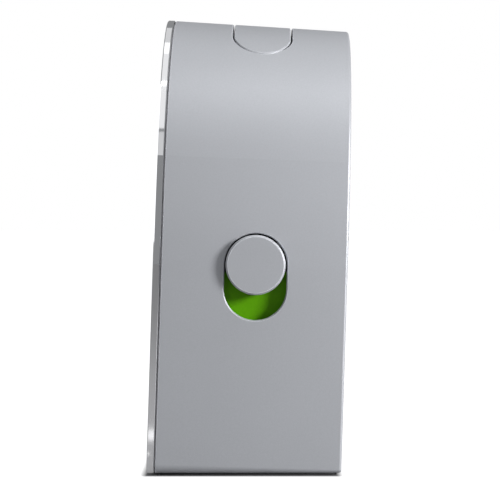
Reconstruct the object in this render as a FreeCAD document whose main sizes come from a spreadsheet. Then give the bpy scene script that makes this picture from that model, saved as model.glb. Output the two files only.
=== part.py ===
"""Video doorbell with an arched case, as a parametric FreeCAD document.

The case frame has X across the front, Y from the front plate (y = 0) to the back
and Z up from the foot of the front plate.  The whole case leans back by the draft
angle, so its drafted underside stands level.
"""
import FreeCAD, Part
import math
import os
import re

import Sketcher
from FreeCAD import Placement, Rotation, Vector

SIZES = {
    # case outline and shell
    "half_width": 54.0,
    "ridge_height": 129.75,
    "crown_radius": 52.0,
    "haunch_radius": 150.0,
    "base_corner": 2.6,
    "least_corner": 0.8,
    "case_depth": 54.0,
    "draft_angle": 1.8,
    "shell_inset": 0.1,
    "side_wall": 2.2,
    "back_wall": 2.4,
    "back_round": 0.7,
    "rim_chamfer": 0.25,
    "centre_depth": 29.03,
    "pad_thickness": 1.2,
    "pad_drop": 0.7,
    "pad_margin": 2.4,
    "pad_corner": 1.5,
    # front plate, its seal and the frame behind it
    "plate_depth": 2.05,
    "seal_depth": 0.25,
    "seal_inset": 0.9,
    "seal_inner_inset": 4.5,
    "frame_inset": 2.75,
    "frame_depth": 2.8,
    "lip_gap": 0.15,
    "flange_depth": 1.0,
    "flange_width": 1.5,
    # camera window
    "window_height": 98.0,
    "window_wide": 34.0,
    "window_tall": 42.0,
    "window_inset": 0.3,
    "lens_height": 103.0,
    "barrel_radius": 7.2,
    "barrel_shoulder": 9.0,
    "barrel_front": 3.4,
    "barrel_back": 14.0,
    "barrel_bore": 4.6,
    "lens_radius": 4.55,
    "ring_radius": 8.4,
    "ring_depth": 1.0,
    "led_board_front": 7.0,
    "led_board_depth": 1.0,
    "led_board_wide": 30.0,
    "led_board_tall": 36.0,
    "led_radius": 1.5,
    "led_offset": 11.6,
    "led_rise": 5.0,
    "led_depth": 3.6,
    "camera_board_half": 15.0,
    "board_depth": 1.2,
    "sensor_half": 3.1,
    # motion sensor
    "motion_height": 66.0,
    "motion_wide": 30.0,
    "motion_tall": 12.0,
    "motion_proud": 0.6,
    "motion_can_radius": 4.6,
    "motion_can_depth": 3.4,
    # call button
    "call_height": 40.5,
    "call_opening": 15.6,
    "call_radius": 13.3,
    "call_proud": 0.8,
    "call_back": 4.0,
    "call_rim": 1.2,
    "call_stem": 3.0,
    "stem_reach": 2.5,
    "plunger_radius": 1.8,
    "plunger_depth": 2.4,
    "switch_half": 6.0,
    "switch_depth": 2.4,
    "running_gap": 0.07,
    # front board and its screws
    "front_board_face": 10.0,
    "front_board_half": 21.5,
    "front_board_low": 23.0,
    "front_board_high": 77.0,
    "standoff_radius": 2.5,
    "standoff_across": 18.5,
    "standoff_low": 26.5,
    "standoff_high": 73.7,
    # speaker and microphone
    "speaker_height": 13.0,
    "speaker_wide": 36.0,
    "speaker_tall": 15.0,
    "speaker_depth": 6.0,
    "speaker_rim": 2.2,
    "magnet_wide": 18.0,
    "magnet_tall": 9.0,
    "magnet_depth": 3.0,
    "grille_pitch": 3.2,
    "grille_row": 2.8,
    "grille_hole": 0.9,
    "microphone_across": -27.0,
    "microphone_hole": 0.7,
    "boot_radius": 2.5,
    # screws of the frame
    "post_radius": 3.4,
    "low_post_across": 45.0,
    "low_post_height": 12.0,
    "high_post_across": 37.0,
    "high_post_height": 99.0,
    "screw_radius": 1.25,
    "screw_head": 2.2,
    "screw_length": 9.0,
    "thread_gap": 0.02,
    # main board
    "main_board_face": 20.0,
    "main_board_half": 32.0,
    "main_board_low": 24.0,
    "main_board_high": 108.0,
    "main_standoff_across": 28.0,
    "main_standoff_low": 29.0,
    "main_standoff_high": 104.0,
    "board_screw_radius": 1.0,
    "board_screw_head": 1.9,
    "board_screw_length": 6.0,
    "can_inner": 4.0,
    "can_outer": 24.5,
    "can_low": 64.0,
    "can_high": 84.0,
    "can_depth": 2.0,
    "can_chamfer": 0.4,
    "chip_pitch": 17.0,
    "chip_height": 45.0,
    "chip_half": 4.5,
    "antenna_half": 14.0,
    "antenna_low": 99.0,
    "antenna_high": 106.0,
    "flex_half": 6.0,
    "flex_thickness": 0.4,
    "camera_flex_height": 94.0,
    "front_flex_height": 56.0,
    # battery and its tray
    "tray_front": 25.0,
    "tray_wall": 1.5,
    "tray_half": 31.0,
    "battery_half": 24.0,
    "battery_low": 26.5,
    "battery_high": 85.0,
    "battery_depth": 20.0,
    "battery_corner": 3.0,
    "contact_depth": 1.0,
    "contact_pitch": 3.0,
    "contact_length": 4.5,
    # battery door
    "door_half": 32.0,
    "door_low": 24.0,
    "door_high": 90.0,
    "door_gap": 0.3,
    "door_corner": 2.0,
    "hinge_across": -34.2,
    "hinge_depth": 52.2,
    "hinge_radius": 1.55,
    "hinge_pin_radius": 0.8,
    "hinge_gutter": 2.2,
    "knuckle_gap": 0.4,
    "knuckle_web": 1.6,
    "magnet_radius": 2.5,
    "magnet_across": 28.0,
    "magnet_margin": 6.0,
    "magnet_thickness": 1.2,
    # wiring and fixing at the back
    "terminal_height": 104.0,
    "terminal_half": 11.0,
    "terminal_rise": 5.5,
    "terminal_front": 44.0,
    "terminal_back": 53.2,
    "terminal_screw_across": 5.0,
    "terminal_screw_radius": 2.2,
    "drive_reach": 1.65,
    "drive_half": 0.37,
    "insert_across": 30.0,
    "insert_radius": 2.8,
    "insert_bore": 1.65,
    "insert_depth": 8.0,
    "insert_boss": 4.5,
    # reset button
    "reset_height": 14.0,
    "reset_radius": 3.0,
    "reset_proud": 0.4,
    "reset_stem": 1.7,
    "reset_flange": 1.0,
    "reset_play": 0.8,
    "reset_post_across": 6.9,
    "reset_board_face": 43.0,
    # side power slider, in a frame of its own on the side wall
    "slider_depth": 28.4,
    "slider_height": 55.33,
    "slot_wide": 17.4,
    "slot_tall": 24.1,
    "slot_chamfer": 0.3,
    "knob_radius": 8.25,
    "knob_proud": 2.2,
    "knob_chamfer": 0.45,
    "well_depth": 3.8,
    "well_floor": 1.2,
    "well_back": 8.6,
    "well_gap": 0.46,
    "well_half": 11.0,
    "well_rise": 13.6,
    "well_end": 3.5,
    "knob_clearance": 0.3,
    "carriage_half": 7.0,
    "carriage_rise": 6.5,
    "carriage_back": 7.6,
    "stem_half": 2.0,
    "stem_rise": 1.6,
    "slide_switch_back": 13.0,
    "slide_switch_rise": 8.5,
    # top button
    "top_depth": 28.4,
    "top_wide": 61.0,
    "top_narrow": 17.4,
    "top_gap": 0.42,
    "top_thickness": 1.8,
    "top_stem_across": 15.0,
    "top_stem_radius": 2.0,
    "top_stem_top": 125.6,
    "top_plunger_top": 127.5,
    "plunger_rise": 1.5,
    "top_switch_rise": 3.5,
    "shelf_half": 26.0,
    "shelf_front": 18.0,
    "shelf_low": 112.0,
    "shelf_thickness": 2.0,
}

document = FreeCAD.newDocument("VideoDoorbell")
sheet = document.addObject("Spreadsheet::Sheet", "Sizes")
for row, (alias, size) in enumerate(SIZES.items(), start=1):
    sheet.set(f"A{row}", alias)
    sheet.set(f"B{row}", str(size))
    sheet.setAlias(f"B{row}", alias)
document.recompute()

# Stations that several sub-parts share, as expressions of the sheet.
SHELL_FRONT = "(plate_depth + seal_depth)"
FRAME_BACK = f"({SHELL_FRONT} + frame_depth)"
FLANGE_BACK = "(plate_depth + flange_depth)"
INNER_BACK = "(case_depth - back_wall)"
FRONT_BOARD_BACK = "(front_board_face + board_depth)"
MAIN_BOARD_BACK = "(main_board_face + board_depth)"
TRAY_FLOOR = "(tray_front + tray_wall)"
KNUCKLES = 5
KNOB_RISE = "((slot_tall - slot_wide) / 2)"
SHELF_TOP = "(shelf_low + shelf_thickness)"

POSTS = [(f"{side}low_post_across", "low_post_height") for side in ("-", "")]
POSTS += [(f"{side}high_post_across", "high_post_height") for side in ("-", "")]
FRONT_STANDOFFS = [(f"{side}standoff_across", level)
                   for side in ("-", "") for level in ("standoff_low", "standoff_high")]
MAIN_STANDOFFS = [(f"{side}main_standoff_across", level)
                  for side in ("-", "") for level in ("main_standoff_low", "main_standoff_high")]
INSERTS = [(f"{side}insert_across", "terminal_height") for side in ("-", "")]


def bound(text):
    """Point every sheet name in an expression at the sheet."""
    return re.sub("[a-z_]+", lambda word: "Sizes." + word[0] if word[0] in SIZES else word[0], str(text))


def value(text):
    """Number that an expression of sheet names comes to."""
    return float(sheet.evalExpression(bound(text)))


def constrain(sketch, kind, *places, to):
    """Add a sized constraint that follows the sheet."""
    index = sketch.addConstraint(Sketcher.Constraint(kind, *places, value(to)))
    sketch.setExpression(f"Constraints[{index}]", bound(to))


def join_smoothly(sketch, first, count):
    """Make a ring of edges tangent, each end to the next one's start."""
    for step in range(count):
        following = first + (step + 1) % count
        sketch.addConstraint(Sketcher.Constraint("Tangent", first + step, 2, following, 1))


def arc(across, up, radius, start, end):
    """Arc about a centre, with angles in radians."""
    return Part.ArcOfCircle(Part.Circle(Vector(across, up, 0), Vector(0, 0, 1), radius), start, end)


def circle(across, up, radius):
    """Outline: a circle."""
    def draw(sketch):
        shape = Part.Circle(Vector(value(across), value(up), 0), Vector(0, 0, 1), value(radius))
        index = sketch.addGeometry(shape, False)
        constrain(sketch, "DistanceX", -1, 1, index, 3, to=across)
        constrain(sketch, "DistanceY", -1, 1, index, 3, to=up)
        constrain(sketch, "Radius", index, to=radius)
    return draw


def box(left, right, low, high):
    """Outline: a rectangle."""
    def draw(sketch):
        corners = [Vector(value(across), value(up), 0)
                   for across, up in ((left, low), (right, low), (right, high), (left, high))]
        edges = [Part.LineSegment(corners[side], corners[(side + 1) % 4]) for side in range(4)]
        first = sketch.addGeometry(edges, False)[0]
        for side in range(4):
            place = (first + side, 2, first + (side + 1) % 4, 1)
            sketch.addConstraint(Sketcher.Constraint("Coincident", *place))
            direction = "Horizontal" if side % 2 == 0 else "Vertical"
            sketch.addConstraint(Sketcher.Constraint(direction, first + side))
        constrain(sketch, "DistanceX", -1, 1, first, 1, to=left)
        constrain(sketch, "DistanceX", -1, 1, first + 2, 1, to=right)
        constrain(sketch, "DistanceY", -1, 1, first, 1, to=low)
        constrain(sketch, "DistanceY", -1, 1, first + 2, 1, to=high)
    return draw


def rounded_box(left, right, low, high, corner):
    """Outline: a rectangle with equal round corners."""
    def draw(sketch):
        x_low, x_high, y_low, y_high = value(left), value(right), value(low), value(high)
        radius = value(corner)
        edges = [
            Part.LineSegment(Vector(x_low + radius, y_low, 0), Vector(x_high - radius, y_low, 0)),
            arc(x_high - radius, y_low + radius, radius, -math.pi / 2, 0),
            Part.LineSegment(Vector(x_high, y_low + radius, 0), Vector(x_high, y_high - radius, 0)),
            arc(x_high - radius, y_high - radius, radius, 0, math.pi / 2),
            Part.LineSegment(Vector(x_high - radius, y_high, 0), Vector(x_low + radius, y_high, 0)),
            arc(x_low + radius, y_high - radius, radius, math.pi / 2, math.pi),
            Part.LineSegment(Vector(x_low, y_high - radius, 0), Vector(x_low, y_low + radius, 0)),
            arc(x_low + radius, y_low + radius, radius, math.pi, 1.5 * math.pi),
        ]
        first = sketch.addGeometry(edges, False)[0]
        join_smoothly(sketch, first, len(edges))
        for side, direction in enumerate(("Horizontal", "Vertical", "Horizontal", "Vertical")):
            sketch.addConstraint(Sketcher.Constraint(direction, first + 2 * side))
        for bend in (3, 5, 7):
            sketch.addConstraint(Sketcher.Constraint("Equal", first + 1, first + bend))
        constrain(sketch, "Radius", first + 1, to=corner)
        constrain(sketch, "DistanceY", -1, 1, first, 1, to=low)
        constrain(sketch, "DistanceX", -1, 1, first + 2, 1, to=right)
        constrain(sketch, "DistanceY", -1, 1, first + 4, 1, to=high)
        constrain(sketch, "DistanceX", -1, 1, first + 6, 1, to=left)
    return draw


def obround(across, up, wide, tall):
    """Outline: a stadium along whichever of its two sizes is the longer."""
    def draw(sketch):
        upright = value(tall) > value(wide)
        radius = min(value(wide), value(tall)) / 2
        reach = abs(value(wide) - value(tall)) / 2
        middle = Vector(value(across), value(up), 0)
        along = Vector(0, reach, 0) if upright else Vector(reach, 0, 0)
        beside = Vector(radius, 0, 0) if upright else Vector(0, -radius, 0)
        turn = 0 if upright else -math.pi / 2
        far, near = middle + along, middle - along
        edges = [
            Part.LineSegment(near + beside, far + beside),
            arc(far.x, far.y, radius, turn, turn + math.pi),
            Part.LineSegment(far - beside, near - beside),
            arc(near.x, near.y, radius, turn + math.pi, turn + 2 * math.pi),
        ]
        first = sketch.addGeometry(edges, False)[0]
        join_smoothly(sketch, first, len(edges))
        sketch.addConstraint(Sketcher.Constraint("Equal", first + 1, first + 3))
        constrain(sketch, "Radius", first + 1, to=f"({wide if upright else tall}) / 2")
        half_run = f"(({tall}) - ({wide})) / 2" if upright else f"(({wide}) - ({tall})) / 2"
        for bend, sign in ((first + 1, "+"), (first + 3, "-")):
            place_across = across if upright else f"{across} {sign} {half_run}"
            place_up = f"{up} {sign} {half_run}" if upright else up
            constrain(sketch, "DistanceX", -1, 1, bend, 3, to=place_across)
            constrain(sketch, "DistanceY", -1, 1, bend, 3, to=place_up)
    return draw


def arch(inset):
    """Outline: the arched front, moved inwards by an inset.

    A flat base with small corners, upright sides, a haunch arc on each side and
    a crown arc between them, all tangent.
    """
    def draw(sketch):
        side, base = value(f"half_width - ({inset})"), value(inset)
        corner = value(f"max(base_corner - ({inset}); least_corner)")
        haunch, crown = value(f"haunch_radius - ({inset})"), value(f"crown_radius - ({inset})")
        crown_height = value("ridge_height - crown_radius")
        haunch_across = value("haunch_radius - half_width")
        spring_drop = math.sqrt((haunch - crown) ** 2 - haunch_across ** 2)
        spring = crown_height - spring_drop
        turn = math.atan2(spring_drop, haunch_across)
        edges = [
            Part.LineSegment(Vector(corner - side, base, 0), Vector(side - corner, base, 0)),
            arc(side - corner, base + corner, corner, -math.pi / 2, 0),
            Part.LineSegment(Vector(side, base + corner, 0), Vector(side, spring, 0)),
            arc(-haunch_across, spring, haunch, 0, turn),
            arc(0, crown_height, crown, turn, math.pi - turn),
            arc(haunch_across, spring, haunch, math.pi - turn, math.pi),
            Part.LineSegment(Vector(-side, spring, 0), Vector(-side, base + corner, 0)),
            arc(corner - side, base + corner, corner, math.pi, 1.5 * math.pi),
        ]
        first = sketch.addGeometry(edges, False)[0]
        join_smoothly(sketch, first, len(edges))
        sketch.addConstraint(Sketcher.Constraint("Horizontal", first))
        sketch.addConstraint(Sketcher.Constraint("Vertical", first + 2))
        sketch.addConstraint(Sketcher.Constraint("Vertical", first + 6))
        sketch.addConstraint(Sketcher.Constraint("PointOnObject", first + 4, 3, -2))
        sketch.addConstraint(Sketcher.Constraint("Equal", first + 1, first + 7))
        sketch.addConstraint(Sketcher.Constraint("Equal", first + 3, first + 5))
        constrain(sketch, "Radius", first + 1, to=f"max(base_corner - ({inset}); least_corner)")
        constrain(sketch, "Radius", first + 3, to=f"haunch_radius - ({inset})")
        constrain(sketch, "Radius", first + 4, to=f"crown_radius - ({inset})")
        constrain(sketch, "DistanceY", -1, 1, first + 4, 3, to="ridge_height - crown_radius")
        constrain(sketch, "DistanceY", -1, 1, first, 1, to=inset)
        constrain(sketch, "DistanceX", -1, 1, first + 2, 1, to=f"half_width - ({inset})")
        constrain(sketch, "DistanceX", -1, 1, first + 6, 1, to=f"({inset}) - half_width")
    return draw


# For each plane: its role, the sign of its offset, and whether a pad or a pocket is reversed
# so that both run the same way, along +Z, +Y or +X.
PLANES = {
    "level": ("XY_Plane", 1, {"Pad": False, "Pocket": True}),
    "front": ("XZ_Plane", -1, {"Pad": True, "Pocket": False}),
    "side": ("YZ_Plane", 1, {"Pad": False, "Pocket": True}),
}


def extrude(body, kind, plane, start, end, outlines, taper=None, seat=None):
    """Pad or pocket some outlines from one station to another across a plane."""
    role, sign, reversed_for = PLANES[plane]
    sketch = body.newObject("Sketcher::SketchObject", f"{body.Name}_outline")
    base = next(feature for feature in body.Origin.OriginFeatures if feature.Role == role)
    sketch.AttachmentSupport = [(base, "")]
    sketch.MapMode = "FlatFace"
    if seat is None:
        sketch.setExpression("AttachmentOffset.Base.z", bound(f"{sign} * ({start})"))
    else:
        sketch.AttachmentOffset = seat
    for outline in outlines:
        outline(sketch)
    feature = body.newObject(f"PartDesign::{kind}", f"{body.Name}_{kind.lower()}")
    feature.Profile = sketch
    feature.setExpression("Length", bound(f"({end}) - ({start})"))
    feature.Reversed = reversed_for[kind]
    if taper:
        feature.setExpression("TaperAngle", bound(taper))
    before = body.Shape.Volume if not body.Shape.isNull() else 0
    document.recompute()
    after = body.Shape.Volume
    changed = after > before if kind == "Pad" else after < before
    if not changed:
        raise RuntimeError(f"{feature.Name} changed nothing")
    return feature


def pad(body, plane, start, end, *outlines, **options):
    """Add material between two stations."""
    return extrude(body, "Pad", plane, start, end, outlines, **options)


def pocket(body, plane, start, end, *outlines, **options):
    """Take material away between two stations."""
    return extrude(body, "Pocket", plane, start, end, outlines, **options)


def soften(body, kind, size, is_chosen):
    """Fillet or chamfer the chosen edges of a body."""
    base = body.Tip
    names = [f"Edge{index}" for index, edge in enumerate(base.Shape.Edges, start=1) if is_chosen(edge)]
    feature = body.newObject(f"PartDesign::{kind}", f"{body.Name}_{kind.lower()}")
    feature.Base = (base, names)
    feature.setExpression("Radius" if kind == "Fillet" else "Size", bound(size))
    document.recompute()


def lies_on(axis, station):
    """Chooser of edges whose ends and middle all lie at one station of an axis."""
    level = value(station)
    nearness = 1e-4

    def is_chosen(edge):
        points = [vertex.Point for vertex in edge.Vertexes] + [middle_of(edge)]
        return all(abs(getattr(point, axis) - level) < nearness for point in points)
    return is_chosen


def middle_of(edge):
    """Point halfway along an edge."""
    return edge.valueAt((edge.FirstParameter + edge.LastParameter) / 2)


def is_slot_mouth(edge):
    """Chooser of the side slot's outer edges."""
    point = slider_seat().inverse().multVec(middle_of(edge))
    in_width = abs(point.y) < value("slot_wide / 2 + rim_chamfer")
    in_height = abs(point.z) < value("slot_tall / 2 + rim_chamfer")
    return in_width and in_height and abs(point.x) < value("side_wall / 3")


def is_top_mouth(edge):
    """Chooser of the outer edges around the top button, on the case or on the button."""
    point = middle_of(edge)
    reach = math.hypot(point.x, point.z - value("ridge_height - crown_radius"))
    taper = (point.y - value(SHELL_FRONT)) * math.tan(math.radians(value("draft_angle")))
    on_surface = abs(reach + taper - value("crown_radius - shell_inset")) < value("top_thickness / 3")
    in_depth = abs(point.y - value("top_depth")) < value("top_narrow / 2 + rim_chamfer")
    in_width = abs(point.x) < value("top_wide / 2 + rim_chamfer")
    return on_surface and in_depth and in_width and point.z > value("crown_radius + half_width")


BODIES = {}


def new_body(name):
    """Start a sub-part, whose label names its file."""
    body = document.addObject("PartDesign::Body", name)
    body.AllowCompound = True
    BODIES[name] = body
    return body


def plate_openings(margin):
    """Outlines of the window, motion lens and call button, grown all round by a margin."""
    return [
        obround("0", "window_height", f"window_wide + 2 * ({margin})", f"window_tall + 2 * ({margin})"),
        obround("0", "motion_height", f"motion_wide + 2 * ({margin})", f"motion_tall + 2 * ({margin})"),
        circle("0", "call_height", f"call_opening + {margin}"),
    ]


def grille_holes():
    """Speaker holes: three staggered rows."""
    holes = []
    for row, count in ((-1, 8), (0, 9), (1, 8)):
        for index in range(count):
            across = f"{index - (count - 1) / 2} * grille_pitch"
            holes.append(circle(across, f"speaker_height + {row} * grille_row", "grille_hole"))
    return holes


def make_front_plate():
    body = new_body("front_plate")
    openings = plate_openings("0") + grille_holes()
    openings.append(circle("microphone_across", "speaker_height", "microphone_hole"))
    pad(body, "front", "0", "plate_depth", arch("0"))
    for face in ("0", "plate_depth"):
        soften(body, "Chamfer", "rim_chamfer", lies_on("y", face))
    pocket(body, "front", "0", "plate_depth", *openings)


def make_plate_seal():
    body = new_body("plate_seal")
    pad(body, "front", "plate_depth", SHELL_FRONT, arch("seal_inset"), arch("seal_inner_inset"))


def make_front_frame():
    body = new_body("front_frame")
    openings = plate_openings("flange_width + lip_gap")
    openings.append(obround("0", "speaker_height", "speaker_wide - 2 * speaker_rim",
                            "speaker_tall - 2 * speaker_rim"))
    openings.append(circle("microphone_across", "speaker_height", "boot_radius + lip_gap"))
    pad(body, "front", SHELL_FRONT, FRAME_BACK, arch("frame_inset"), *openings)
    pad(body, "front", FRAME_BACK, "front_board_face",
        *[circle(across, up, "standoff_radius") for across, up in FRONT_STANDOFFS])
    pad(body, "front", FRAME_BACK, "main_board_face",
        *[circle(across, up, "standoff_radius") for across, up in MAIN_STANDOFFS])
    for standoffs, face in ((FRONT_STANDOFFS, "front_board_face"), (MAIN_STANDOFFS, "main_board_face")):
        pocket(body, "front", f"{face} - board_screw_length + board_depth", face,
               *[circle(across, up, "board_screw_radius + thread_gap") for across, up in standoffs])
    pocket(body, "front", SHELL_FRONT, FRAME_BACK,
           *[circle(across, up, "screw_radius + lip_gap") for across, up in POSTS])
    pocket(body, "front", SHELL_FRONT, f"{SHELL_FRONT} + frame_depth / 2",
           *[circle(across, up, "screw_head + lip_gap") for across, up in POSTS])


def make_frame_screws():
    body = new_body("frame_screws")
    seat = f"{SHELL_FRONT} + frame_depth / 2"
    pad(body, "front", f"{seat} - screw_radius", seat,
        *[circle(across, up, "screw_head") for across, up in POSTS])
    pad(body, "front", seat, f"{seat} + screw_length",
        *[circle(across, up, "screw_radius") for across, up in POSTS])


def make_window():
    body = new_body("window_glass")
    pad(body, "front", "window_inset", "plate_depth",
        obround("0", "window_height", "window_wide - 2 * lip_gap", "window_tall - 2 * lip_gap"))
    pad(body, "front", "plate_depth", FLANGE_BACK,
        obround("0", "window_height", "window_wide + 2 * flange_width", "window_tall + 2 * flange_width"))


def make_camera():
    barrel = new_body("camera_barrel")
    pad(barrel, "front", "barrel_front", "led_board_front + led_board_depth",
        circle("0", "lens_height", "barrel_radius"))
    pad(barrel, "front", "led_board_front + led_board_depth", "barrel_back",
        circle("0", "lens_height", "barrel_shoulder"))
    pocket(barrel, "front", "barrel_front", "barrel_back", circle("0", "lens_height", "barrel_bore"))

    lens = new_body("camera_lens")
    pad(lens, "front", "barrel_front + ring_depth", "led_board_front",
        circle("0", "lens_height", "lens_radius"))
    soften(lens, "Fillet", "ring_depth", lies_on("y", "barrel_front + ring_depth"))

    ring = new_body("lens_ring")
    pad(ring, "front", "barrel_front", "barrel_front + ring_depth",
        circle("0", "lens_height", "ring_radius"), circle("0", "lens_height", "barrel_radius + thread_gap"))

    sensor = new_body("image_sensor")
    pad(sensor, "front", "barrel_back - board_depth", "barrel_back",
        box("-sensor_half", "sensor_half", "lens_height - sensor_half", "lens_height + sensor_half"))

    board = new_body("camera_board")
    pad(board, "front", "barrel_back", "barrel_back + board_depth",
        box("-camera_board_half", "camera_board_half", "lens_height - camera_board_half",
            "lens_height + camera_board_half"))


def make_night_lights():
    board = new_body("led_board")
    pad(board, "front", "led_board_front", "led_board_front + led_board_depth",
        obround("0", "window_height", "led_board_wide", "led_board_tall"),
        circle("0", "lens_height", "barrel_radius + lip_gap"))

    leds = new_body("ir_leds")
    places = [(f"{side} * led_offset", f"lens_height + {rise} * led_rise")
              for side in (-1, 1) for rise in (-1, 1)]
    pad(leds, "front", "led_board_front - led_depth", "led_board_front",
        *[circle(across, up, "led_radius") for across, up in places])
    soften(leds, "Fillet", "led_radius / 2", lies_on("y", "led_board_front - led_depth"))

    sensor = new_body("light_sensor")
    pad(sensor, "front", "led_board_front - board_depth", "led_board_front",
        box("-led_radius", "led_radius", "window_height - led_board_wide / 2",
            "window_height - led_board_wide / 2 + led_radius"))


def make_motion_sensor():
    lens = new_body("motion_lens")
    pad(lens, "front", "-motion_proud", "plate_depth",
        obround("0", "motion_height", "motion_wide - 2 * lip_gap", "motion_tall - 2 * lip_gap"))
    soften(lens, "Fillet", "motion_proud", lies_on("y", "-motion_proud"))
    pad(lens, "front", "plate_depth", FLANGE_BACK,
        obround("0", "motion_height", "motion_wide + 2 * flange_width", "motion_tall + 2 * flange_width"))

    can = new_body("motion_sensor")
    pad(can, "front", "front_board_face - motion_can_depth", "front_board_face",
        circle("0", "motion_height", "motion_can_radius"))


def make_call_button():
    ring = new_body("call_light_ring")
    inner = circle("0", "call_height", "call_radius + running_gap")
    pad(ring, "front", "0", "plate_depth", circle("0", "call_height", "call_opening - lip_gap"), inner)
    pad(ring, "front", "plate_depth", FLANGE_BACK,
        circle("0", "call_height", "call_opening + flange_width"), inner)

    button = new_body("call_button")
    pad(button, "front", "-call_proud", "call_back", circle("0", "call_height", "call_radius"))
    soften(button, "Fillet", "call_proud", lies_on("y", "-call_proud"))
    pad(button, "front", f"{FLANGE_BACK} + running_gap", "call_back",
        circle("0", "call_height", "call_radius + call_rim"))
    pad(button, "front", "call_back", "call_back + stem_reach", circle("0", "call_height", "call_stem"))

    plunger = new_body("call_plunger")
    pad(plunger, "front", "call_back + stem_reach", "call_back + stem_reach + plunger_depth",
        circle("0", "call_height", "plunger_radius"))

    switch = new_body("call_switch")
    pad(switch, "front", "front_board_face - switch_depth", "front_board_face",
        rounded_box("-switch_half", "switch_half", "call_height - switch_half", "call_height + switch_half",
                    "plunger_radius / 2"),
        circle("0", "call_height", "plunger_radius + running_gap"))


def make_boards():
    front = new_body("front_board")
    pad(front, "front", "front_board_face", FRONT_BOARD_BACK,
        box("-front_board_half", "front_board_half", "front_board_low", "front_board_high"),
        *[circle(across, up, "board_screw_radius + lip_gap") for across, up in FRONT_STANDOFFS])

    main = new_body("main_board")
    pad(main, "front", "main_board_face", MAIN_BOARD_BACK,
        box("-main_board_half", "main_board_half", "main_board_low", "main_board_high"),
        *[circle(across, up, "board_screw_radius + lip_gap") for across, up in MAIN_STANDOFFS])

    screws = new_body("board_screws")
    for standoffs, face in ((FRONT_STANDOFFS, FRONT_BOARD_BACK), (MAIN_STANDOFFS, MAIN_BOARD_BACK)):
        pad(screws, "front", f"{face} - board_screw_length", face,
            *[circle(across, up, "board_screw_radius") for across, up in standoffs])
        pad(screws, "front", face, f"{face} + board_depth",
            *[circle(across, up, "board_screw_head") for across, up in standoffs])


def make_board_parts():
    cans = new_body("shield_cans")
    pad(cans, "front", MAIN_BOARD_BACK, f"{MAIN_BOARD_BACK} + can_depth",
        box("-can_outer", "-can_inner", "can_low", "can_high"),
        box("can_inner", "can_outer", "can_low", "can_high"))
    soften(cans, "Chamfer", "can_chamfer", lies_on("y", f"{MAIN_BOARD_BACK} + can_depth"))

    chips = new_body("board_chips")
    pad(chips, "front", MAIN_BOARD_BACK, f"{MAIN_BOARD_BACK} + board_depth",
        *[box(f"{place} * chip_pitch - chip_half", f"{place} * chip_pitch + chip_half",
              "chip_height - chip_half", "chip_height + chip_half") for place in (-1, 0, 1)])

    antenna = new_body("antenna")
    pad(antenna, "front", "main_board_face - board_depth", "main_board_face",
        box("-antenna_half", "antenna_half", "antenna_low", "antenna_high"))

    flex = new_body("camera_flex")
    pad(flex, "front", "barrel_back + board_depth", "main_board_face",
        box("-flex_half", "flex_half", "camera_flex_height", "camera_flex_height + flex_thickness"))

    link = new_body("front_flex")
    pad(link, "front", FRONT_BOARD_BACK, "main_board_face",
        box("-flex_half", "flex_half", "front_flex_height", "front_flex_height + flex_thickness"))


def make_speaker():
    rim = obround("0", "speaker_height", "speaker_wide - 2 * speaker_rim", "speaker_tall - 2 * speaker_rim")
    frame = new_body("speaker_frame")
    pad(frame, "front", FRAME_BACK, f"{FRAME_BACK} + speaker_depth",
        obround("0", "speaker_height", "speaker_wide", "speaker_tall"), rim)

    cone = new_body("speaker_cone")
    pad(cone, "front", f"{FRAME_BACK} + board_depth", f"{FRAME_BACK} + 2 * board_depth",
        obround("0", "speaker_height", "speaker_wide - 2 * speaker_rim - lip_gap",
                "speaker_tall - 2 * speaker_rim - lip_gap"))

    magnet = new_body("speaker_magnet")
    pad(magnet, "front", f"{FRAME_BACK} + speaker_depth - board_depth", f"{FRAME_BACK} + speaker_depth",
        obround("0", "speaker_height", "speaker_wide - 2 * speaker_rim - lip_gap",
                "speaker_tall - 2 * speaker_rim - lip_gap"))
    pad(magnet, "front", f"{FRAME_BACK} + speaker_depth", f"{FRAME_BACK} + speaker_depth + magnet_depth",
        obround("0", "speaker_height", "magnet_wide", "magnet_tall"))

    mesh = new_body("acoustic_mesh")
    pad(mesh, "front", "plate_depth", "plate_depth + seal_depth",
        obround("0", "speaker_height", "speaker_wide - 2 * speaker_rim", "speaker_tall - 2 * speaker_rim"))


def make_microphone():
    boot = new_body("microphone_boot")
    pad(boot, "front", "plate_depth", "front_board_face - board_depth",
        circle("microphone_across", "speaker_height", "boot_radius"),
        circle("microphone_across", "speaker_height", "microphone_hole"))

    microphone = new_body("microphone")
    pad(microphone, "front", "front_board_face - board_depth", "front_board_face",
        box("microphone_across - boot_radius", "microphone_across + boot_radius",
            "speaker_height - boot_radius", "speaker_height + boot_radius"))

    board = new_body("microphone_board")
    pad(board, "front", "front_board_face", FRONT_BOARD_BACK,
        box("microphone_across - 2 * boot_radius", "microphone_across + 2 * boot_radius",
            "speaker_height - 2 * boot_radius", "speaker_height + 2 * boot_radius"))


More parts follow.
